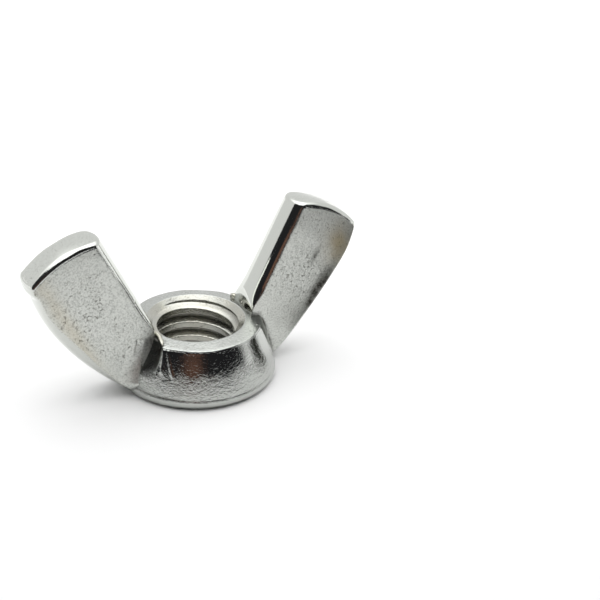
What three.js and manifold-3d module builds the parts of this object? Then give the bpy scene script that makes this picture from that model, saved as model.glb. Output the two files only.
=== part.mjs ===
// Wing nut, cold-forged pattern with flat wings, 5/16-18 UNC thread, right-handed.
// Millimetres, +Z up along the thread axis, +X towards the right wing.
// Origin: centre of the bearing face, on the thread axis.

import * as THREE from 'three';
import { mergeVertices } from 'three/addons/utils/BufferGeometryUtils.js';
import Module from 'manifold-3d';

const wasm = await Module();
wasm.setup();

// Thread
const THREAD_MAJOR_RADIUS = 7.94 / 2;
const THREAD_MINOR_RADIUS = 6.73 / 2;
const THREAD_PITCH = 25.4 / 18;
const THREAD_FLANK = THREE.MathUtils.degToRad(30);
const THREAD_START_ANGLE = THREE.MathUtils.degToRad(-76.6);
const STEPS_PER_TURN = 32;

// Boss
const BOSS_RADIUS = 7.1;
const BOSS_HEIGHT = 5.08;
const BASE_ROUND = 0.5;
const CREASE_RADIUS = 6.98;
const CREASE_HEIGHT = 1.0;
const RIM_RADIUS = 5.74;
const RIM_ROUND = 0.15;
const TOP_MOUTH_RADIUS = 4.33;
const BOTTOM_MOUTH_RADIUS = 4.15;
const MOUTH_CHAMFER = 0.58;
const SHOULDER_SLOPE = 4;
const BOSS_SEGMENTS = 96;

// Wings: side outline in the XZ plane, from the root round to the root
const WING_ROOT_INNER = new THREE.Vector2(4.6, 5.0);
const WING_NECK = new THREE.Vector2(4.85, 6.97);
const WING_TIP_INNER = new THREE.Vector2(9.01, 15.07);
const WING_TIP_OUTER = new THREE.Vector2(15.4, 11.95);
const WING_TIP_SAG = 0.73;
const WING_BELLY_HIGH = new THREE.Vector2(14.9, 7.9);
const WING_BELLY_LOW = new THREE.Vector2(10.77, 3.0);
const WING_FOOT = new THREE.Vector2(7.07, 0.46);
const WING_ROOT_THICKNESS = 3.44;
const WING_TIP_THICKNESS = 3.06;
const WING_EDGE_ROUND = new THREE.Vector2(0.35, 0.7);
const WING_ROUND_STEPS = 3;
const WING_CURVE_STEPS = 10;

// Clearance left where a wing is cut by the boss
const ROOT_GAP = 0.3;

const ZINC = { color: 0xc4c7c8, roughness: 0.22, metalness: 1.0 };

function toSolid(geometry) {
  const bare = geometry.clone();
  bare.deleteAttribute('normal');
  bare.deleteAttribute('uv');
  const merged = mergeVertices(bare, 1e-5);
  const vertProperties = new Float32Array(merged.attributes.position.array);
  const triVerts = new Uint32Array(merged.index.array);
  return new wasm.Manifold(new wasm.Mesh({ numProp: 3, vertProperties, triVerts }));
}

function toGeometry(solid) {
  const mesh = solid.getMesh();
  const geometry = new THREE.BufferGeometry();
  geometry.setAttribute('position', new THREE.BufferAttribute(new Float32Array(mesh.vertProperties), 3));
  geometry.setIndex(new THREE.BufferAttribute(new Uint32Array(mesh.triVerts), 1));
  geometry.computeVertexNormals();
  return geometry;
}

function named(name, solid) {
  const mesh = new THREE.Mesh(toGeometry(solid), new THREE.MeshStandardMaterial(ZINC));
  mesh.name = name;
  return mesh;
}

// A closed profile of (radius, height) points turned about Z.
function turned(points) {
  const geometry = new THREE.LatheGeometry(points, BOSS_SEGMENTS);
  geometry.rotateX(Math.PI / 2);
  return toSolid(geometry);
}

// The boss without its bore, grown outwards by `grow`.
function bossBlank(grow) {
  const profile = new THREE.Path();
  profile.moveTo(0, -grow);
  profile.lineTo(BOSS_RADIUS - BASE_ROUND, -grow);
  profile.absarc(BOSS_RADIUS - BASE_ROUND, BASE_ROUND, BASE_ROUND + grow, -Math.PI / 2, 0, false);
  profile.lineTo(CREASE_RADIUS + grow, CREASE_HEIGHT);
  profile.lineTo(RIM_RADIUS + grow, BOSS_HEIGHT - RIM_ROUND);
  profile.lineTo(RIM_RADIUS + grow - RIM_ROUND, BOSS_HEIGHT + grow);
  profile.lineTo(0, BOSS_HEIGHT + grow);
  return turned(profile.getPoints(4));
}

// The tapping hole, with a 45 degree countersink at each mouth and a flatter shoulder below it.
function boreCutter() {
  const past = 1;
  const topEdge = TOP_MOUTH_RADIUS - MOUTH_CHAMFER;
  const bottomEdge = BOTTOM_MOUTH_RADIUS - MOUTH_CHAMFER;
  const topDepth = MOUTH_CHAMFER + (topEdge - THREAD_MINOR_RADIUS) / SHOULDER_SLOPE;
  const bottomDepth = MOUTH_CHAMFER + (bottomEdge - THREAD_MINOR_RADIUS) / SHOULDER_SLOPE;
  return turned([
    new THREE.Vector2(0, -past),
    new THREE.Vector2(BOTTOM_MOUTH_RADIUS + past, -past),
    new THREE.Vector2(bottomEdge, MOUTH_CHAMFER),
    new THREE.Vector2(THREAD_MINOR_RADIUS, bottomDepth),
    new THREE.Vector2(THREAD_MINOR_RADIUS, BOSS_HEIGHT - topDepth),
    new THREE.Vector2(topEdge, BOSS_HEIGHT - MOUTH_CHAMFER),
    new THREE.Vector2(TOP_MOUTH_RADIUS + past, BOSS_HEIGHT + past),
    new THREE.Vector2(0, BOSS_HEIGHT + past),
  ]);
}

// A right-handed helix whose section frame stays radial and vertical.
class ThreadHelix extends THREE.Curve {
  constructor(radius, pitch, turns, startAngle, startHeight) {
    super();
    Object.assign(this, { radius, pitch, turns, startAngle, startHeight });
  }

  angle(t) {
    return this.startAngle + 2 * Math.PI * this.turns * t;
  }

  getPoint(t, target = new THREE.Vector3()) {
    const angle = this.angle(t);
    const height = this.startHeight + this.pitch * this.turns * t;
    return target.set(this.radius * Math.cos(angle), this.radius * Math.sin(angle), height);
  }

  computeFrenetFrames(segments) {
    const frames = { tangents: [], normals: [], binormals: [] };
    for (let i = 0; i <= segments; i += 1) {
      const angle = this.angle(i / segments);
      frames.tangents.push(new THREE.Vector3(-Math.sin(angle), Math.cos(angle), 0));
      frames.normals.push(new THREE.Vector3(Math.cos(angle), Math.sin(angle), 0));
      frames.binormals.push(new THREE.Vector3(0, 0, -1));
    }
    return frames;
  }
}

// The V groove of the thread, with a flat of an eighth of the pitch at its bottom.
function threadCutter() {
  const inset = THREAD_PITCH / 10;
  const innerRadius = THREAD_MINOR_RADIUS - inset;
  const depth = THREAD_MAJOR_RADIUS - innerRadius;
  const rootHalf = THREAD_PITCH / 16;
  const mouthHalf = rootHalf + depth * Math.tan(THREAD_FLANK);
  const section = new THREE.Shape([
    new THREE.Vector2(0, -mouthHalf),
    new THREE.Vector2(depth, -rootHalf),
    new THREE.Vector2(depth, rootHalf),
    new THREE.Vector2(0, mouthHalf),
  ]);
  const turns = Math.ceil(BOSS_HEIGHT / THREAD_PITCH) + 2;
  const helix = new ThreadHelix(innerRadius, THREAD_PITCH, turns, THREAD_START_ANGLE, -THREAD_PITCH);
  const geometry = new THREE.ExtrudeGeometry(section, {
    extrudePath: helix,
    steps: turns * STEPS_PER_TURN,
    bevelEnabled: false,
  });
  return toSolid(geometry);
}

function hub() {
  return bossBlank(0).subtract(boreCutter()).subtract(threadCutter());
}

// Side view of a wing. Its root runs on inside the boss, which cuts it off.
function wingOutline() {
  const outline = new THREE.Shape();
  const across = WING_TIP_OUTER.clone().sub(WING_TIP_INNER);
  const outwards = new THREE.Vector2(-across.y, across.x).normalize();
  const tipMiddle = WING_TIP_INNER.clone().addScaledVector(across, 1 / 2);
  const tipHandle = tipMiddle.addScaledVector(outwards, 2 * WING_TIP_SAG);
  outline.moveTo(WING_ROOT_INNER.x, WING_ROOT_INNER.y - CREASE_HEIGHT);
  outline.lineTo(WING_FOOT.x - CREASE_HEIGHT, WING_FOOT.y);
  outline.lineTo(WING_FOOT.x, WING_FOOT.y);
  outline.bezierCurveTo(
    WING_BELLY_LOW.x, WING_BELLY_LOW.y,
    WING_BELLY_HIGH.x, WING_BELLY_HIGH.y,
    WING_TIP_OUTER.x, WING_TIP_OUTER.y,
  );
  outline.quadraticCurveTo(tipHandle.x, tipHandle.y, WING_TIP_INNER.x, WING_TIP_INNER.y);
  outline.lineTo(WING_NECK.x, WING_NECK.y);
  outline.lineTo(WING_ROOT_INNER.x, WING_ROOT_INNER.y);
  return outline;
}

// A plate with rounded edges that gets thinner from the root to the tip.
function wingPlate() {
  const geometry = new THREE.ExtrudeGeometry(wingOutline(), {
    depth: WING_ROOT_THICKNESS - 2 * WING_EDGE_ROUND.y,
    curveSegments: WING_CURVE_STEPS,
    bevelSize: WING_EDGE_ROUND.x,
    bevelOffset: -WING_EDGE_ROUND.x,
    bevelThickness: WING_EDGE_ROUND.y,
    bevelSegments: WING_ROUND_STEPS,
  });
  geometry.translate(0, 0, WING_EDGE_ROUND.y - WING_ROOT_THICKNESS / 2);
  geometry.rotateX(Math.PI / 2);
  const position = geometry.attributes.position;
  const taper = 1 - WING_TIP_THICKNESS / WING_ROOT_THICKNESS;
  for (let i = 0; i < position.count; i += 1) {
    const along = (position.getZ(i) - WING_ROOT_INNER.y) / (WING_TIP_INNER.y - WING_ROOT_INNER.y);
    const clamped = THREE.MathUtils.clamp(along, 0, 1);
    position.setY(i, position.getY(i) * (1 - taper * clamped));
  }
  return toSolid(geometry);
}

function wing() {
  return wingPlate().subtract(bossBlank(ROOT_GAP));
}

const wingNut = new THREE.Group();
wingNut.add(named('hub', hub()));
const wingRight = named('wing_right', wing());
const wingLeft = named('wing_left', wing());
wingLeft.rotation.z = Math.PI;
wingNut.add(wingRight, wingLeft);

export default wingNut;
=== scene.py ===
import math

import bpy
import numpy as np
from mathutils import Matrix


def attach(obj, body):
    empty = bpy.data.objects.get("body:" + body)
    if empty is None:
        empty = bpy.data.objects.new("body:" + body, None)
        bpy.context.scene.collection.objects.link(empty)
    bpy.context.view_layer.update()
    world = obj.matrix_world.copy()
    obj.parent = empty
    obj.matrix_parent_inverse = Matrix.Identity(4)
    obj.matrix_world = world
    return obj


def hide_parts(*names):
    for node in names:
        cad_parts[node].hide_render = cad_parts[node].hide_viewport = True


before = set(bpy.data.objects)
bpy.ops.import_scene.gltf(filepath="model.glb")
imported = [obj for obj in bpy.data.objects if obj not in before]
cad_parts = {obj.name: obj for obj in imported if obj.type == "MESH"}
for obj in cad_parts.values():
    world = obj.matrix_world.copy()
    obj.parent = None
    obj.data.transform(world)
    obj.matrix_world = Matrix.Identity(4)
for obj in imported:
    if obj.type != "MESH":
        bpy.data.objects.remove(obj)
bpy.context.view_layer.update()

# ---------------------------------------------------------------- camera
# A short telephoto looks down at the nut, which stands left of the middle of the picture.
VIEW_HEADING = math.radians(31.55)
VIEW_DIP = math.radians(27.57)
VIEW_ROLL = math.radians(2.81)
VIEW_PLACE = np.array([-0.04407, -0.08902, 0.05911])
LENS = 77.3

ahead = np.array([
    math.sin(VIEW_HEADING) * math.cos(VIEW_DIP),
    math.cos(VIEW_HEADING) * math.cos(VIEW_DIP),
    -math.sin(VIEW_DIP),
])
level_right = np.cross(ahead, (0, 0, 1))
level_right /= np.linalg.norm(level_right)
level_up = np.cross(level_right, ahead)
pose = np.eye(4)
pose[:3, 0] = math.cos(VIEW_ROLL) * level_right + math.sin(VIEW_ROLL) * level_up
pose[:3, 1] = math.cos(VIEW_ROLL) * level_up - math.sin(VIEW_ROLL) * level_right
pose[:3, 2] = -ahead
pose[:3, 3] = VIEW_PLACE
camera_data = bpy.data.cameras.new("camera")
camera_data.sensor_width = 36
camera_data.lens = LENS
camera_data.clip_start = 0.001
camera_data.clip_end = 20
camera = bpy.data.objects.new("camera", camera_data)
camera.matrix_world = Matrix(pose.tolist())
bpy.context.scene.collection.objects.link(camera)
bpy.context.scene.camera = camera

# ---------------------------------------------------------------- hub
# The boss: forged steel, a cone with a flat base, a rounded foot and a crowned top rim, zinc plated.
# It is drilled, countersunk at both ends and tapped. Its skin is one profile carried round the thread axis,
# pressed out of round by the forging dies, with folded flash where the wings leave it.
MM = 0.001
BOSS_RADIUS = 7.1
BOSS_HEIGHT = 5.08
FOOT_ROUND = 0.70
FOOT_TURN = (-90, 8)
CREASE_Z = 1.02
CREASE_R = 7.0
CREASE_DEPTH = 0.008
CREASE_HALF = 0.04
SEAM = 0.01
RIM_R = 5.74
RIM_ROUND = 0.13
RIM_TURN = (16, 83)
RIM_CROWN = 0.18
CONE_BULGE = 0.12
MOUTH_R = 4.33
UNDER_MOUTH_R = 4.15
CHAMFER = 0.58
SHOULDER = 3.0
MAJOR_R = 3.97
MINOR_R = 3.365
PITCH = 25.4 / 18
CREST_HALF = 0.26
CREST_ANGLE = math.radians(59.5)
CREST_Z = 2.65
DIE_SWELL = 0.018
HAMMER_MARKS = 0.004
RIM_SWELL = 0.025
RIM_WAVE = 0.02
RIDGE_TOP = 4.6
RIDGES = [
    {"height": 0.07, "angle": -139, "lean": 3.4, "width": 0.75, "foot": (2.4, 3.0)},
    {"height": 0.07, "angle": -143.5, "lean": 1.0, "width": 1.4, "foot": (2.6, 3.2)},
    {"height": 0.05, "angle": -39, "lean": 2.0, "width": 0.9, "foot": (1.2, 2.0)},
]
DIMPLE_DEPTH = 0.05
DIMPLES = [
    {"angle": -146, "width": 3.5, "middle": 4.1, "tall": 0.5},
    {"angle": -149, "width": 2.5, "middle": 3.1, "tall": 0.35},
]
FLAKE_HEIGHT = 0.12
FLAKE_ANGLE = -146.5
FLAKE_LEAN = 1.6
FLAKE_EDGE = 2.6
FLAKE_TOP = 3.3
FLAKE_FOOT = (1.0, 1.5)
HOLLOW_DEPTH = 0.7
HOLLOW_HEIGHTS = (2.2, 4.8)
HOLLOW_EDGE = (-143.5, -152)
HOLLOW_END = (-172, -163)
HUB_TURN = 360
BASE_ROWS = 10
FOOT_ROWS = 20
CONE_ROWS = 74
RIM_ROWS = 9
TOP_ROWS = 14
BORE_ROWS = 138


def ripple(seed, count, low, high, *coords):
    """Sum of `count` sine waves of random direction, phase and wave number (between low and high), divided
    by the square root of `count`."""
    rng = np.random.default_rng(seed)
    total = 0.0
    for _ in range(count):
        direction = rng.normal(size=len(coords))
        direction *= rng.uniform(low, high) / np.linalg.norm(direction)
        phase = rng.uniform(0, 2 * math.pi)
        total = total + np.sin(sum(d * c for d, c in zip(direction, coords)) + phase)
    return total / math.sqrt(count)


def smooth(low, high, x):
    """0 below low, 1 above high, and a smooth cubic between them."""
    t = np.clip((x - low) / (high - low), 0, 1)
    return t * t * (3 - 2 * t)


def bump(x, centre, width):
    """A bell of height 1 at the centre, which falls to a third at one width from it."""
    return np.exp(-((x - centre) / width) ** 2)


def cone_radius(z):
    """Radius of the cone at height z: a straight line with a shallow bulge."""
    t = np.clip((z - CREASE_Z) / (BOSS_HEIGHT - CREASE_Z), 0, 1)
    return CREASE_R + (RIM_R - CREASE_R) * t + CONE_BULGE * 4 * t * (1 - t)


def bore_radius(angle, z):
    """Radius of the tapped hole: the V groove on its helix, or a 45 degree countersink at each mouth with a
    flatter shoulder below it, where these are wider."""
    turns = (z - CREST_Z) / PITCH - (angle - CREST_ANGLE) / (2 * math.pi)
    from_crest = np.abs(turns - np.round(turns)) * PITCH
    thread = MINOR_R + np.clip((from_crest - CREST_HALF) * math.sqrt(3), 0, MAJOR_R - MINOR_R)
    deep = BOSS_HEIGHT + RIM_CROWN - z
    top = MOUTH_R - deep - SHOULDER * np.maximum(deep - CHAMFER, 0)
    under = UNDER_MOUTH_R - z - SHOULDER * np.maximum(z - CHAMFER, 0)
    return np.maximum(thread, np.maximum(top, under))


def folded_flash(angle, z):
    """Extra radius of the cone at its laps: upright ridges beside both wings, shallow dimples, and a flat
    flake low down beside the left wing. Each is a bell or a soft step across its own slanting line."""
    degrees = np.degrees(angle)
    extra = 0
    for ridge in RIDGES:
        line = ridge["angle"] + ridge["lean"] * (RIDGE_TOP - z)
        extra = extra + ridge["height"] * bump(degrees, line, ridge["width"]) * smooth(*ridge["foot"], z)
    for dimple in DIMPLES:
        across = bump(degrees, dimple["angle"], dimple["width"])
        extra = extra - DIMPLE_DEPTH * across * bump(z, dimple["middle"], dimple["tall"])
    flake_line = FLAKE_ANGLE - FLAKE_LEAN * (FLAKE_TOP - z)
    flake = smooth(flake_line + FLAKE_EDGE, flake_line, degrees)
    flake = flake * smooth(FLAKE_TOP + 0.2, FLAKE_TOP - 0.4, z) * smooth(*FLAKE_FOOT, z)
    return (extra + FLAKE_HEIGHT * flake) * smooth(BOSS_HEIGHT, BOSS_HEIGHT - 0.25, z)


def lap_hollow(angle, z):
    """Depth of the hollow left under the curled lip beside the left wing: a soft step upwards, deepest at
    the rim, times a soft step at each side."""
    degrees = np.degrees(angle)
    sides = smooth(*HOLLOW_EDGE, degrees) * smooth(*HOLLOW_END, degrees)
    return HOLLOW_DEPTH * smooth(*HOLLOW_HEIGHTS, z) * sides


def arc(centre_r, centre_z, radius, start, stop, count):
    """Points of a circular arc in the (radius, height) plane, from angle start to stop in degrees."""
    a = np.radians(np.linspace(start, stop, count))
    return np.stack([centre_r + radius * np.cos(a), centre_z + radius * np.sin(a)], 1)


def hub_rows():
    """Rows of the boss skin and a mark for those in the bore: from the lower mouth out under the base, up
    the cone, over the rim and down the bore. Each row outside the bore is a circle whose radius has the
    forging's unevenness added."""
    base_r = np.linspace(UNDER_MOUTH_R, BOSS_RADIUS - FOOT_ROUND, BASE_ROWS)[:-1]
    base = np.stack([base_r, np.zeros_like(base_r)], 1)
    foot = arc(BOSS_RADIUS - FOOT_ROUND, FOOT_ROUND, FOOT_ROUND, *FOOT_TURN, FOOT_ROWS)
    crease = np.array([
        [CREASE_R + SEAM, CREASE_Z - CREASE_HALF],
        [CREASE_R - CREASE_DEPTH, CREASE_Z],
        [CREASE_R, CREASE_Z + CREASE_HALF],
    ])
    cone_z = np.linspace(CREASE_Z + 0.07, BOSS_HEIGHT - RIM_ROUND, CONE_ROWS)
    cone = np.stack([cone_radius(cone_z), cone_z], 1)
    rim = arc(RIM_R - RIM_ROUND + SEAM, BOSS_HEIGHT - RIM_ROUND, RIM_ROUND, *RIM_TURN, RIM_ROWS)
    top_r = np.linspace(RIM_R - RIM_ROUND, MOUTH_R, TOP_ROWS)[1:]
    top = np.stack([top_r, BOSS_HEIGHT + RIM_CROWN * (RIM_R - top_r) / (RIM_R - MOUTH_R)], 1)
    outside = np.concatenate([base, foot, crease, cone, rim, top])
    angle = np.linspace(-math.pi, math.pi, HUB_TURN, endpoint=False)
    r = np.repeat(outside[:, :1], HUB_TURN, 1)
    z = np.repeat(outside[:, 1:], HUB_TURN, 1)
    x = r * np.cos(angle)
    y = r * np.sin(angle)
    on_cone = smooth(CREASE_Z - 0.3, CREASE_Z + 0.5, z) * smooth(MOUTH_R + 0.3, RIM_R, r)
    r = r + DIE_SWELL * on_cone * ripple(5, 8, 0.8, 2.4, x, y, 0.6 * z)
    r = r + HAMMER_MARKS * on_cone * smooth(3.6, 2.4, z) * ripple(6, 24, 9, 16, x, y, z)
    r = r + on_cone * folded_flash(angle[None], z)
    under_lip = cone_radius(z) + 0.1 - lap_hollow(angle[None], z)
    r = np.where(z > CREASE_Z, np.minimum(r, under_lip), r)
    at_rim = smooth(BOSS_HEIGHT - 0.4, BOSS_HEIGHT, z) * smooth(MOUTH_R + 0.2, RIM_R, r)
    r = r + RIM_SWELL * at_rim * ripple(3, 7, 0.5, 3, x, y)
    z = z + RIM_WAVE * at_rim * ripple(4, 7, 0.4, 2, x, y)
    bore_z = np.linspace(BOSS_HEIGHT + RIM_CROWN, 0, BORE_ROWS + 2)[1:-1]
    bore_z = np.repeat(bore_z[:, None], HUB_TURN, 1)
    bore_r = bore_radius(angle[None], bore_z)
    in_bore = np.concatenate([np.zeros_like(r), np.ones_like(bore_r)])
    r = np.concatenate([r, bore_r])
    z = np.concatenate([z, bore_z])
    return np.stack([r * np.cos(angle), r * np.sin(angle), z], -1), in_bore


def grid_faces(rows, columns, close_rows):
    """Quads of a grid whose columns wrap round. The last row joins the first where close_rows is true."""
    row = np.arange(rows if close_rows else rows - 1)
    i, j = np.meshgrid(row, np.arange(columns), indexing="ij")
    i2 = (i + 1) % rows
    j2 = (j + 1) % columns
    corners = [i * columns + j, i * columns + j2, i2 * columns + j2, i2 * columns + j]
    return np.stack(corners, -1).reshape(-1, 4)


def make_piece(name, node, points, faces, finish, **values):
    """A smooth mesh object from points in millimetres and lists of faces, with one number per point for
    each named value. It rides on the nut and stands for its solid `node`, where one is given."""
    mesh = bpy.data.meshes.new(name)
    mesh.from_pydata((points * MM).tolist(), [], faces)
    mesh.polygons.foreach_set("use_smooth", np.ones(len(mesh.polygons), dtype=bool))
    for key, numbers in values.items():
        layer = mesh.attributes.new(key, "FLOAT", "POINT")
        layer.data.foreach_set("value", np.ascontiguousarray(numbers, dtype=np.float32).ravel())
    mesh.update()
    mesh.materials.append(finish)
    piece = bpy.data.objects.new(name, mesh)
    bpy.context.scene.collection.objects.link(piece)
    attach(piece, "root")
    if node:
        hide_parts(node)


def add_node(tree, kind, inputs, **settings):
    """A shader node whose inputs are set to numbers or joined to other sockets."""
    made = tree.nodes.new(kind)
    for key, value in settings.items():
        setattr(made, key, value)
    for key, value in inputs.items():
        if isinstance(value, bpy.types.NodeSocket):
            tree.links.new(value, made.inputs[key])
        else:
            made.inputs[key].default_value = value
    return made


CLOUD_SCALE = 420
FINE_SCALE = 6500
PIT_SCALE = 4200
PEEL_SCALE = 5200
SPECK_GREY = (0.20, 0.21, 0.195, 1)
PASSIVATE = (0.50, 0.43, 0.29, 1)
PIT_BROWN = (0.11, 0.10, 0.075, 1)
# Dark colour for dark lines and patches, and for painted shade and a painted reflection.
DARK_MARKS_AND_SHADE = (0.035, 0.030, 0.022, 1)


def zinc_finish(name, clean, mirror_rough, satin_rough, relief_depth, speck):
    """Bright zinc on steel. Each point carries: satin (0 burnished, 1 tumbled), a darkening value (painted
    shade in thread grooves and hollows, a painted reflection, dark lines along creases, a dark patch and
    the feet of the flash), warm (yellowish passivate) and grain (orange peel). Specks and pits are noise on
    Object coordinates."""
    made = bpy.data.materials.new(name)
    made.use_nodes = True
    tree = made.node_tree
    shader = tree.nodes["Principled BSDF"]
    place = tree.nodes.new("ShaderNodeTexCoord").outputs["Object"]

    def carried(key):
        return add_node(tree, "ShaderNodeAttribute", {}, attribute_name=key).outputs["Fac"]

    def noise(scale, detail, rough=0.55, distortion=0.0):
        inputs = {"Vector": place, "Scale": scale, "Detail": detail}
        inputs.update({"Roughness": rough, "Distortion": distortion})
        return add_node(tree, "ShaderNodeTexNoise", inputs).outputs["Fac"]

    def sums(kind, a, b):
        return add_node(tree, "ShaderNodeMath", {0: a, 1: b}, operation=kind).outputs[0]

    def ramp(value, low, high, to_low=0.0, to_high=1.0):
        inputs = {"Value": value, "From Min": low, "From Max": high, "To Min": to_low, "To Max": to_high}
        return add_node(tree, "ShaderNodeMapRange", inputs).outputs["Result"]

    def blend(factor, a, b):
        return add_node(tree, "ShaderNodeMix", {0: factor, 6: a, 7: b}, data_type="RGBA").outputs[2]

    satin = carried("satin")
    grime = carried("grime")
    warm = carried("warm")
    grain = carried("grain")
    cloud = noise(CLOUD_SCALE, 3)
    fine = noise(FINE_SCALE, 3, 0.6)
    pits = noise(PIT_SCALE, 2, 0.5, 0.4)
    pit_area = sums("MULTIPLY", ramp(cloud, 0.42, 0.58, 0.15, 1.0), satin)
    pit_mask = sums("MULTIPLY", ramp(pits, 0.59, 0.70), pit_area)
    speck_mask = sums("MULTIPLY", sums("MULTIPLY", ramp(fine, 0.45, 0.72), satin), speck)
    colour = blend(speck_mask, (*clean, 1), SPECK_GREY)
    colour = blend(sums("MULTIPLY", warm, ramp(cloud, 0.35, 0.6, 0.45, 1.0)), colour, PASSIVATE)
    colour = blend(sums("MULTIPLY", pit_mask, 0.5), colour, PIT_BROWN)
    # Painted shade and painted reflection: points that carry them are mixed towards the dark colour, as are
    # the dark lines and patches.
    dark_marks_and_shade_mask = sums("MULTIPLY", grime, ramp(fine, 0.3, 0.6, 0.75, 1.0))
    colour = blend(dark_marks_and_shade_mask, colour, DARK_MARKS_AND_SHADE)
    rough = ramp(satin, 0, 1, mirror_rough, satin_rough)
    rough = sums("ADD", rough, sums("MULTIPLY", sums("SUBTRACT", cloud, 0.5), 0.12))
    rough = sums("ADD", rough, sums("MULTIPLY", dark_marks_and_shade_mask, 0.3))
    peel = noise(PEEL_SCALE, 3, 0.6, 0.6)
    height = sums("MULTIPLY", peel, sums("ADD", grain, sums("MULTIPLY", satin, 0.25)))
    height = sums("ADD", height, sums("MULTIPLY", sums("MULTIPLY", fine, satin), 0.3))
    height = sums("SUBTRACT", height, sums("MULTIPLY", pit_mask, 0.5))
    relief = {"Height": height, "Distance": relief_depth * MM, "Strength": 1.0}
    relief = add_node(tree, "ShaderNodeBump", relief)
    tree.links.new(colour, shader.inputs["Base Color"])
    tree.links.new(rough, shader.inputs["Roughness"])
    tree.links.new(relief.outputs[0], shader.inputs["Normal"])
    shader.inputs["Metallic"].default_value = 1.0
    return made


hub_points, in_bore = hub_rows()
hub_r = np.hypot(hub_points[..., 0], hub_points[..., 1])
hub_z = hub_points[..., 2]
hub_angle = np.degrees(np.arctan2(hub_points[..., 1], hub_points[..., 0]))
below_mouth = smooth(BOSS_HEIGHT - 0.35, BOSS_HEIGHT - 0.7, hub_z)
# Painted shade: the thread grooves below the mouth are darkened for the shade that falls in them.
groove = in_bore * smooth(MINOR_R + 0.08, MAJOR_R - 0.1, hub_r) * below_mouth
on_top = (1 - in_bore) * smooth(BOSS_HEIGHT - 0.06, BOSS_HEIGHT - 0.01, hub_z)
broken = smooth(0.1, 0.9, ripple(8, 9, 1, 3, *np.moveaxis(hub_points, -1, 0)))
# The colour is darkened along the crease above the foot, broken up by ripples.
crease_line = (1 - in_bore) * bump(hub_z, CREASE_Z, 0.06) * broken
burnished = 1 - 0.85 * bump(hub_angle, -36, 26)
on_cone = (1 - in_bore) * (1 - on_top) * smooth(0.9, 1.3, hub_z) * burnished
hammer_edge = hub_z + 0.35 * ripple(9, 8, 1, 4, hub_points[..., 0], hub_points[..., 1])
hammered = (1 - in_bore) * smooth(3.5, 2.3, hammer_edge) * burnished
# Painted shade: besides its real depth, the hollow under the curled lip is darkened for the shade in it.
hollow = (1 - in_bore) * lap_hollow(np.radians(hub_angle), hub_z) / HOLLOW_DEPTH
hollow = hollow * smooth(MOUTH_R + 0.3, MOUTH_R + 0.6, hub_r)
hub_finish = zinc_finish(
    "hub_zinc",
    clean=(0.49, 0.505, 0.48),
    mirror_rough=0.09,
    satin_rough=0.24,
    relief_depth=0.06,
    speck=0.5,
)
hub_faces = grid_faces(len(hub_points), HUB_TURN, True).tolist()
make_piece(
    "boss", "hub", hub_points.reshape(-1, 3), hub_faces, hub_finish,
    satin=np.maximum(0.55 * on_top, 0.35 * in_bore) + 0.1 * hammered,
    # Darkening: painted shade in the thread grooves and the hollow under the lip, and a dark line along the
    # crease.
    grime=np.maximum.reduce([0.55 * groove, 0.8 * crease_line, 0.75 * hollow]),
    warm=0.25 * in_bore,
    grain=0.12 + 0.22 * on_cone + 0.65 * hammered * (1 - on_top) * smooth(0.5, 0.9, hub_z) + 0.06 * on_top,
)

# ---------------------------------------------------------------- wings
# Two thick forged plates of the same zinc plated steel, leaning outwards from the boss. Inner edges are
# fully rounded, tips crowned and slightly mushroomed by the trimming press, and one side of each flares
# into a pad on the cone. Each is one surface of sections swept from inside the boss to the tip.
NECK = np.array([4.85, 6.97])
NECK_SHARE = 0.3
TIP_INNER = np.array([9.01, 15.07])
TIP_OUTER = np.array([15.05, 12.15])
BELLY = [(6.2, -0.1), (10.12, 2.23)]
ROOT = [(4.5, 4.3), (4.47, 5.35), (4.5, 6.2)]
FIRST_SECTION = 0.05
TIP_SAG = 0.73
BROAD_PAD = (1.1, 1.5)
NARROW_PAD = (0.12, 0.4)
PAD_TOP = 0.1
PAD_FALL = 5.0
MUSHROOM = 0.39
ROOT_HALF = 1.73
TIP_HALF = 1.53
INNER_ROUND = 0.90
ROOT_INNER_ROUND = 0.3
OUTER_ROUND = 0.38
BELLY_ROUND = 0.75
TIP_DROP = 0.42
TIP_INSET = 0.5
TIP_TURNS = np.radians([10, 20, 30, 42, 54, 66, 78, 90])
TIP_CROWN = 0.05
TIP_SATIN = 0.3
EDGE_SATIN = 0.1
CLEAR_OF_BOSS = 9.0
ROOT_LAP = 0.04
SIDE_SWELL = 0.02
SIDE_DENTS = 0.005
WING_ROWS = 200
WING_LOOP = 240
CAP_STRIPS = 14
# Where the painted reflection of a neighbouring nut lies on the right wing: a point on the band's middle
# line and the line's direction.
BAND_X = 11.6
BAND_Z = 6.1
BAND_RUN = (0.54, 0.84)


def bezier(points, t):
    """Cubic Bezier curve through (x, z) control points at parameter values t."""
    a, b, c, d = (np.asarray(p, float)[None] for p in points)
    t = t[:, None]
    return (1 - t) ** 3 * a + 3 * (1 - t) ** 2 * t * b + 3 * (1 - t) * t * t * c + t ** 3 * d


def section(length, half, inner_round, outer_round):
    """One loop round each section, as distance along its chord and to the side: a quarter ellipse at the
    inner edge, a flat face, a quarter ellipse at the outer edge, and the same back on the other side."""
    quarter = WING_LOOP // 8
    flat = WING_LOOP // 2 - 2 * quarter
    opening = np.linspace(0, math.pi / 2, quarter, endpoint=False)[None]
    closing = np.linspace(math.pi / 2, 0, quarter, endpoint=False)[None]
    run = np.linspace(0, 1, flat, endpoint=False)[None]
    across = np.concatenate([
        inner_round * (1 - np.cos(opening)),
        inner_round + (length - inner_round - outer_round) * run,
        length - outer_round * (1 - np.cos(closing)),
    ], 1)
    side = np.concatenate([np.sin(opening) * half, half * np.ones_like(run), np.sin(closing) * half], 1)
    across = np.concatenate([across, length, across[:, :0:-1]], 1)
    side = np.concatenate([-side, 0 * length, side[:, :0:-1]], 1)
    return across, side


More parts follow.
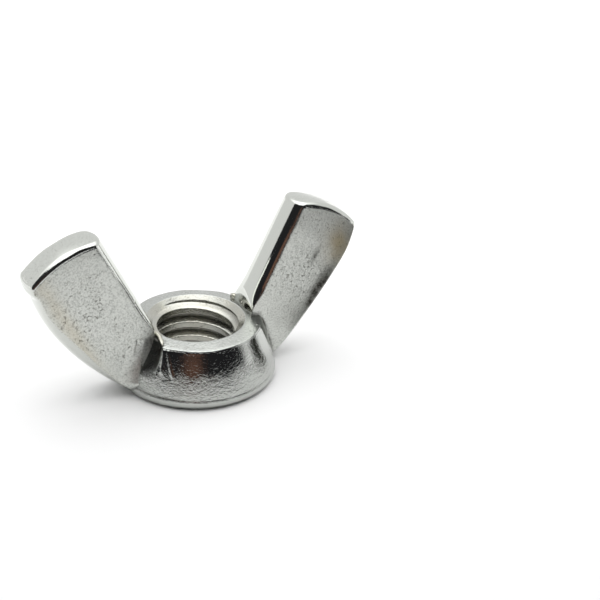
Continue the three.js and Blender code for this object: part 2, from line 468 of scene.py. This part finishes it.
def wing_loops(seed, mushroom, belly):
    """Section loops from inside the boss to the tip, each between the wing's inner and outer outlines.
    Pads widen them near the boss, more on one side, by less and less upwards and away from the cone."""
    t = np.linspace(0, 1, WING_ROWS)
    s = FIRST_SECTION + (1 - FIRST_SECTION) * (t - 0.12 * np.sin(2 * math.pi * t) / (2 * math.pi))
    lower = bezier([*ROOT, NECK], np.clip(s / NECK_SHARE, 0, 1))
    upper = NECK + (TIP_INNER - NECK) * np.clip((s - NECK_SHARE) / (1 - NECK_SHARE), 0, 1)[:, None]
    inner = np.where((s < NECK_SHARE)[:, None], lower, upper)
    tip_run = (TIP_OUTER - TIP_INNER) / np.linalg.norm(TIP_OUTER - TIP_INNER)
    tip_out = np.array([-tip_run[1], tip_run[0]])
    inner = inner - tip_out * (TIP_DROP * smooth(0.8, 1, s))[:, None]
    corner = TIP_OUTER + tip_run * (MUSHROOM - mushroom) - tip_out * TIP_DROP
    outer = bezier([*BELLY, belly, corner], s)
    outer = outer + tip_run * (mushroom * smooth(0.9, 0.985, s))[:, None]
    chord = outer - inner
    length = np.linalg.norm(chord, axis=1)[:, None]
    along = chord / length
    normal = np.stack([-along[:, 1], along[:, 0]], 1)
    half = (ROOT_HALF + (TIP_HALF - ROOT_HALF) * s)[:, None]
    inner_round = ROOT_INNER_ROUND + (INNER_ROUND - ROOT_INNER_ROUND) * smooth(0.14, 0.4, s)
    outer_round = OUTER_ROUND + BELLY_ROUND * bump(s, 0.5, 0.25)
    across, y = section(length, half, inner_round[:, None], outer_round[:, None])
    v = across / length
    sag = TIP_SAG * 4 * v * (1 - v) * (smooth(0.3, 1, s) ** 2)[:, None]
    x = inner[:, :1] + along[:, :1] * across + normal[:, :1] * sag
    z = inner[:, 1:] + along[:, 1:] * across + normal[:, 1:] * sag
    face = smooth(0.9, 1.0, np.abs(y) / half)
    beyond = np.maximum(x - np.sqrt(cone_radius(z) ** 2 - half ** 2), 0)
    above = np.maximum(z - BOSS_HEIGHT - RIM_CROWN, 0)
    flare = np.where(y > 0, BROAD_PAD[0], NARROW_PAD[0])
    reach = np.where(y > 0, BROAD_PAD[1], NARROW_PAD[1])
    pad = flare * np.clip(1 - beyond / reach, 0, 1) ** 1.3 * smooth(0.4, 1.6, z)
    pad = pad * np.clip((BOSS_HEIGHT + PAD_TOP - z) / PAD_FALL, 0, 1)
    broken = smooth(-0.3, 0.6, ripple(seed + 5, 5, 1, 3, z))
    pad = pad - np.where(y > 0, ROOT_LAP * bump(beyond, 0.8, 0.06) * smooth(2.4, 3.0, z) * broken, 0)
    y = y * (1 + pad / half)
    uneven = SIDE_SWELL * ripple(seed, 9, 0.4, 1.4, x, z) + SIDE_DENTS * ripple(seed + 1, 12, 2, 5, x, z)
    off = np.hypot(np.maximum(np.hypot(x, y) - cone_radius(z), 0), above)
    y = y + np.sign(y) * uneven * face * smooth(0, 0.7, off)
    return np.stack([x, y, z], -1), off, face, s, tip_run, tip_out


def cap(ring, first, start, strips, outward, crown, flip):
    """Close a loop whose points pair off across its middle, with strips between the pairs and a fan at each
    end. The strips rise by `crown` times a half sine across the loop and the root of a half sine along it.
    Returns the new points and faces."""
    half = len(ring) // 2
    pair = np.arange(1, half)
    f = np.linspace(0, 1, strips + 2)[1:-1]
    near = ring[pair]
    far = ring[len(ring) - pair]
    arch = np.sqrt(np.sin(math.pi * pair / half))[:, None] * np.sin(math.pi * f)
    rise = crown * arch[..., None] * outward
    fill = near[:, None] + (far - near)[:, None] * f[None, :, None] + rise
    table = np.concatenate([
        (start + pair)[:, None],
        first + np.arange(len(pair) * strips).reshape(len(pair), strips),
        (start + len(ring) - pair)[:, None],
    ], 1)
    quads = np.stack([table[:-1, :-1], table[1:, :-1], table[1:, 1:], table[:-1, 1:]], -1).reshape(-1, 4)
    fan_a = np.stack([np.full(strips + 1, start), table[0, :-1], table[0, 1:]], 1)
    fan_b = np.stack([np.full(strips + 1, start + half), table[-1, 1:], table[-1, :-1]], 1)
    faces = [group[:, ::-1] if flip else group for group in (quads, fan_a, fan_b)]
    return fill.reshape(-1, 3), [face for group in faces for face in group.tolist()]


def wing_surface(seed, mushroom, belly):
    """Points and faces of one wing, its satin, and each point's distance from the boss. The section loops
    are rounded over the tip edge along quarter ellipses, and closed at the tip and inside the boss."""
    loops, off, face, s, tip_run, tip_out = wing_loops(seed, mushroom, belly)
    run = np.array([tip_run[0], 0, tip_run[1]])
    out = np.array([tip_out[0], 0, tip_out[1]])
    last = loops[-1]
    middle = last.mean(0)
    u = (last - middle) @ run
    w = last[:, 1]
    rest = last - middle - np.outer(u, run) - np.outer(w, (0, 1, 0))
    bead = 1 + 0.12 * ripple(seed + 2, 6, 1, 4, u, w) + 0.35 * smooth(-3, 3, u)
    rings = []
    for turn in TIP_TURNS:
        inset = TIP_INSET * (1 - math.cos(turn))
        lift = TIP_DROP * math.sin(turn)
        shrink_u = 1 - 0.6 * inset / np.abs(u).max()
        shrink_w = 1 - bead * inset / np.abs(w).max()
        flat = np.outer(u * shrink_u, run) + np.outer(w * shrink_w, (0, 1, 0))
        rings.append(middle + rest + flat + lift * out)
    grid = np.concatenate([loops, np.array(rings)])
    points = grid.reshape(-1, 3)
    faces = grid_faces(len(grid), WING_LOOP, False).tolist()
    tip_start = (len(grid) - 1) * WING_LOOP
    tip_points, tip_faces = cap(grid[-1], len(points), tip_start, CAP_STRIPS, out, TIP_CROWN, False)
    root_points, root_faces = cap(grid[0], len(points) + len(tip_points), 0, 1, out, 0.0, True)
    flat_face = face ** 2 * smooth(1.0, 0.985, s)[:, None]
    satin = np.concatenate([
        flat_face.ravel(),
        np.full(len(rings) * WING_LOOP, EDGE_SATIN),
        np.full(len(tip_points), TIP_SATIN),
        np.zeros(len(root_points)),
    ])
    near = np.concatenate([off.ravel(), np.full(len(satin) - off.size, CLEAR_OF_BOSS)])
    points = np.concatenate([points, tip_points, root_points])
    return points, faces + tip_faces + root_faces, satin, near


wing_finish = zinc_finish(
    "wing_zinc",
    clean=(0.61, 0.625, 0.59),
    mirror_rough=0.09,
    satin_rough=0.30,
    relief_depth=0.04,
    speck=0.6,
)


def add_wing(name, node, seed, side, mushroom, belly, tint_and_reflection):
    """One wing; side is 1 for the right one and -1 for the left one, which is turned half round. Its colour
    is darkened along its crease with the boss, and on the camera's side by the painted reflection and dark
    patch the last argument gives."""
    points, faces, satin, near = wing_surface(seed, mushroom, belly)
    x, y, z = points.T
    broken = smooth(-0.4, 0.8, ripple(seed + 3, 8, 1, 4, x, y, z))
    # The colour is darkened along the crease with the boss.
    crease = bump(near, 0.03, 0.12) * (0.4 + 0.6 * broken)
    warm, reflection_and_patch = tint_and_reflection(x, z)
    mottle = 0.8 + 0.2 * smooth(-0.8, 0.8, ripple(seed + 4, 14, 3, 9, x, z))
    # Painted reflection: the dark band and patch are kept to the side of the wing facing the camera, and
    # mottled.
    reflection_and_patch = reflection_and_patch * mottle * smooth(0.9, -0.2, y)
    make_piece(
        name, node, points * np.array([side, side, 1]), faces, wing_finish,
        satin=satin,
        grime=np.maximum(crease, reflection_and_patch),
        warm=warm * smooth(0.5, 1, satin),
        grain=0.05 + 0.12 * satin,
    )


def right_tint_and_reflection(x, z):
    """Yellowish passivate on the outer part of the right wing, and a dark band along its belly, a painted
    reflection of a neighbouring nut, with a short dark patch above it. Each is a product of two bells; the
    band's is clipped at 1."""
    aside, upwards = BAND_RUN
    from_line = (x - BAND_X) * upwards - (z - BAND_Z) * aside
    along_line = (x - BAND_X) * aside + (z - BAND_Z) * upwards
    band = np.minimum(1.6 * bump(from_line, -0.1, 0.7) * bump(along_line, 0, 2.2), 1)
    dark_patch = 0.6 * bump(x - 0.5 * z, 6.1, 0.3) * bump(z, 9.8, 0.8)
    return bump(x, 13.4, 1.3) * bump(z, 10.3, 1.6), np.minimum(band + dark_patch, 1)


def left_stain(x, z):
    """A faint warm band along the outer third of the left wing, with no painted reflection."""
    return 0.35 * bump(x - 0.5 * z, 8.3, 0.8), 0 * x


add_wing(
    "wing_plate_right", "wing_right",
    seed=11, side=1, mushroom=0.05, belly=(15.0, 8.0), tint_and_reflection=right_tint_and_reflection,
)
add_wing(
    "wing_plate_left", "wing_left",
    seed=12, side=-1, mushroom=MUSHROOM, belly=(14.67, 7.45), tint_and_reflection=left_stain,
)

# ---------------------------------------------------------------- flash
# Thin flash squeezed out between the dies where the wings leave the rim: a curled lip along the mouth
# beside the left wing, and a row of lumps folded down on the rim beside the right one. Both are the nut's
# own metal.
FLASH_STEPS = 90
FLASH_SIDES = 28


def flash_strip(path, widths, heights, seed, lumps):
    """A closed ridge along a smooth curve through `path`. Its section is an ellipse of the given half width
    and half height at each path point. Both fall to nothing at the ends by the root of one less the fourth
    power of the distance from the middle, and lumps are added."""
    knots = np.linspace(0, 1, len(path))
    t = (1 - np.cos(np.linspace(0.02, math.pi - 0.02, FLASH_STEPS))) / 2
    curve = np.polynomial.polynomial.polyfit(knots, np.array(path), min(len(path) - 1, 4))
    line = np.polynomial.polynomial.polyval(t, curve).T
    ahead_of = np.gradient(line, axis=0)
    ahead_of /= np.linalg.norm(ahead_of, axis=1, keepdims=True)
    sideways = np.cross(ahead_of, (0, 0, 1))
    sideways /= np.linalg.norm(sideways, axis=1, keepdims=True)
    upward = np.cross(sideways, ahead_of)
    taper = np.sqrt(np.clip(1 - (2 * t - 1) ** 4, 0, 1))
    swell = taper * (1 + lumps * ripple(seed, 7, 2, 9, 4 * t))
    wide = (np.interp(t, knots, widths) * swell)[:, None]
    tall = (np.interp(t, knots, heights) * swell)[:, None]
    turn = np.linspace(0, 2 * math.pi, FLASH_SIDES, endpoint=False)[None]
    rough = 1 + 0.5 * lumps * ripple(seed + 1, 9, 2, 7, np.cos(turn), np.sin(turn), 6 * t[:, None])
    around = sideways[:, None] * (wide * np.cos(turn) * rough)[..., None]
    around = around + upward[:, None] * (tall * np.sin(turn) * rough)[..., None]
    grid = line[:, None] + around
    ends = np.stack([line[0], line[-1]])
    points = np.concatenate([grid.reshape(-1, 3), ends])
    faces = grid_faces(FLASH_STEPS, FLASH_SIDES, False)[:, ::-1].tolist()
    first = np.arange(FLASH_SIDES)
    following = (first + 1) % FLASH_SIDES
    last_ring = (FLASH_STEPS - 1) * FLASH_SIDES
    start_tip = np.full(FLASH_SIDES, len(points) - 2)
    end_tip = np.full(FLASH_SIDES, len(points) - 1)
    faces += np.stack([first, following, start_tip], 1).tolist()
    faces += np.stack([last_ring + following, last_ring + first, end_tip], 1).tolist()
    return points, faces


def add_flash(name, path, widths, heights, seed, lumps, satin):
    """One strip of flash, its colour darkened where it lies low, below the top of the rim."""
    points, faces = flash_strip(path, widths, heights, seed, lumps)
    rim_top = BOSS_HEIGHT + RIM_CROWN
    low_darkening = 0.75 * smooth(rim_top + 0.1, rim_top - 0.12, points[:, 2])
    make_piece(
        name, None, points, faces, hub_finish,
        satin=np.full(len(points), satin),
        grime=low_darkening,
        warm=np.full(len(points), 0.3),
        grain=np.full(len(points), 0.2),
    )


add_flash(
    "rim_lip",
    path=[
        (-4.72, -0.3, 5.28), (-4.48, -1.0, 5.36), (-4.36, -1.6, 5.38),
        (-4.48, -2.5, 5.28), (-4.62, -3.15, 5.08),
    ],
    widths=[0.12, 0.20, 0.24, 0.20, 0.10],
    heights=[0.12, 0.18, 0.22, 0.17, 0.08],
    seed=21, lumps=0.12, satin=0.1,
)
add_flash(
    "rim_fold",
    path=[
        (5.55, -1.5, 5.02), (5.30, -0.6, 5.28), (5.05, 0.5, 5.38),
        (4.95, 1.7, 5.36), (4.95, 2.9, 5.16),
    ],
    widths=[0.24, 0.48, 0.44, 0.40, 0.22],
    heights=[0.16, 0.32, 0.38, 0.3, 0.14],
    seed=22, lumps=0.45, satin=0.4,
)

# ---------------------------------------------------------------- stage
# A white sheet on the table, a bright tent round it, and the tent's dark opening on the camera's side. The
# cards are seen only in the metal's reflections; the opening's card also keeps its light off the sheet.
FLOOR_HALF = 2.0
TENT_LOW = 0.93
TENT_HIGH = 2.6
TENT_RISE = 0.6
OPENING_AZIMUTHS = (-191, -38)
OPENING_FAR = 120
OPENING_TOP = 145
TABLE_NEAR = 48
TABLE_GAP = 0.3


def stage_sheet(name, corners, faces, material):
    """A flat-sided object of the stage from corners in metres."""
    mesh = bpy.data.meshes.new(name)
    mesh.from_pydata(corners, [], faces)
    mesh.materials.append(material)
    sheet = bpy.data.objects.new(name, mesh)
    bpy.context.scene.collection.objects.link(sheet)
    return sheet


paper = bpy.data.materials.new("paper")
paper.use_nodes = True
paper_shader = paper.node_tree.nodes["Principled BSDF"]
paper_shader.inputs["Base Color"].default_value = (0.93, 0.93, 0.93, 1)
paper_shader.inputs["Roughness"].default_value = 0.9
paper_shader.inputs["Specular IOR Level"].default_value = 0.1
square = ((-1, -1), (1, -1), (1, 1), (-1, 1))
floor_corners = [(FLOOR_HALF * across, FLOOR_HALF * along, 0) for across, along in square]
stage_sheet("floor", floor_corners, [(0, 1, 2, 3)], paper)

tent = bpy.data.worlds.new("tent")
bpy.context.scene.world = tent
tent.use_nodes = True
sky = tent.node_tree
direction = add_node(sky, "ShaderNodeTexCoord", {}).outputs["Generated"]
height = add_node(sky, "ShaderNodeSeparateXYZ", {0: direction}).outputs["Z"]
level = {"Value": height, "From Min": TENT_RISE, "From Max": 1.0, "To Min": TENT_LOW, "To Max": TENT_HIGH}
brightness = add_node(sky, "ShaderNodeMapRange", level).outputs["Result"]
background = sky.nodes["Background"]
background.inputs["Color"].default_value = (1, 1, 1, 1)
sky.links.new(brightness, background.inputs["Strength"])
bpy.context.scene.view_settings.view_transform = "Standard"


def glow(name, colour):
    """A plain emitting colour, near black for the dark cards."""
    made = bpy.data.materials.new(name)
    made.use_nodes = True
    tree = made.node_tree
    tree.nodes.clear()
    light = add_node(tree, "ShaderNodeEmission", {"Color": (*colour, 1), "Strength": 1.0})
    add_node(tree, "ShaderNodeOutputMaterial", {"Surface": light.outputs[0]})
    return made


def hide_card(card, blocks_light=False):
    """Leave a card visible to glossy rays only, unless it also keeps light off the paper."""
    card.visible_camera = False
    card.visible_diffuse = blocks_light
    card.visible_shadow = blocks_light


def round_card(name, azimuths, profile, colour, blocks_light=False):
    """A curved card round the nut: a profile of (distance, height) in mm carried over azimuths in degrees,
    as flat panels."""
    a = np.radians(np.linspace(*azimuths, 25))
    p = np.array(profile, float)
    points = np.stack([p[:, :1] * np.cos(a), p[:, :1] * np.sin(a), np.repeat(p[:, 1:], len(a), 1)], -1) * MM
    i, j = np.meshgrid(np.arange(len(p) - 1), np.arange(len(a) - 1), indexing="ij")
    n = len(a)
    quads = np.stack([i * n + j, i * n + j + 1, (i + 1) * n + j + 1, (i + 1) * n + j], -1).reshape(-1, 4)
    card = stage_sheet(name, points.reshape(-1, 3).tolist(), quads.tolist(), glow(name, colour))
    hide_card(card, blocks_light)


def flat_card(name, corners, colour):
    """A flat card from its four corners in mm."""
    corners = [tuple(c * MM for c in corner) for corner in corners]
    hide_card(stage_sheet(name, corners, [(0, 1, 2, 3)], glow(name, colour)))


round_card(
    "tent_opening", OPENING_AZIMUTHS, [(OPENING_FAR, TABLE_GAP), (OPENING_FAR, OPENING_TOP)],
    (0.022, 0.022, 0.024), blocks_light=True,
)
# Painted shadow: the white sheet on the camera's side, from 48 mm out, shows dark in the reflections for
# the shade of the camera and the tent's opening.
round_card(
    "painted_table_shadow", OPENING_AZIMUTHS, [(TABLE_NEAR, TABLE_GAP), (OPENING_FAR, TABLE_GAP)],
    (0.016, 0.016, 0.018),
)
round_card("brown_strip", (-134, -108), [(110, 2), (110, 34)], (0.17, 0.09, 0.065))
flat_card(
    "dark_upright",
    [(20, -12, 0.1), (20, -5, 0.1), (20, -5, 9), (20, -12, 9)],
    (0.03, 0.03, 0.025),
)
# Painted shadow: a grey patch on the sheet beside the nut, seen in the reflections, for the shadow of a
# neighbouring nut.
flat_card(
    "painted_neighbour_shadow",
    [(11.5, -8.5, 0.2), (20, -11, 0.2), (20, -3.5, 0.2), (11.5, -4, 0.2)],
    (0.07, 0.07, 0.055),
)
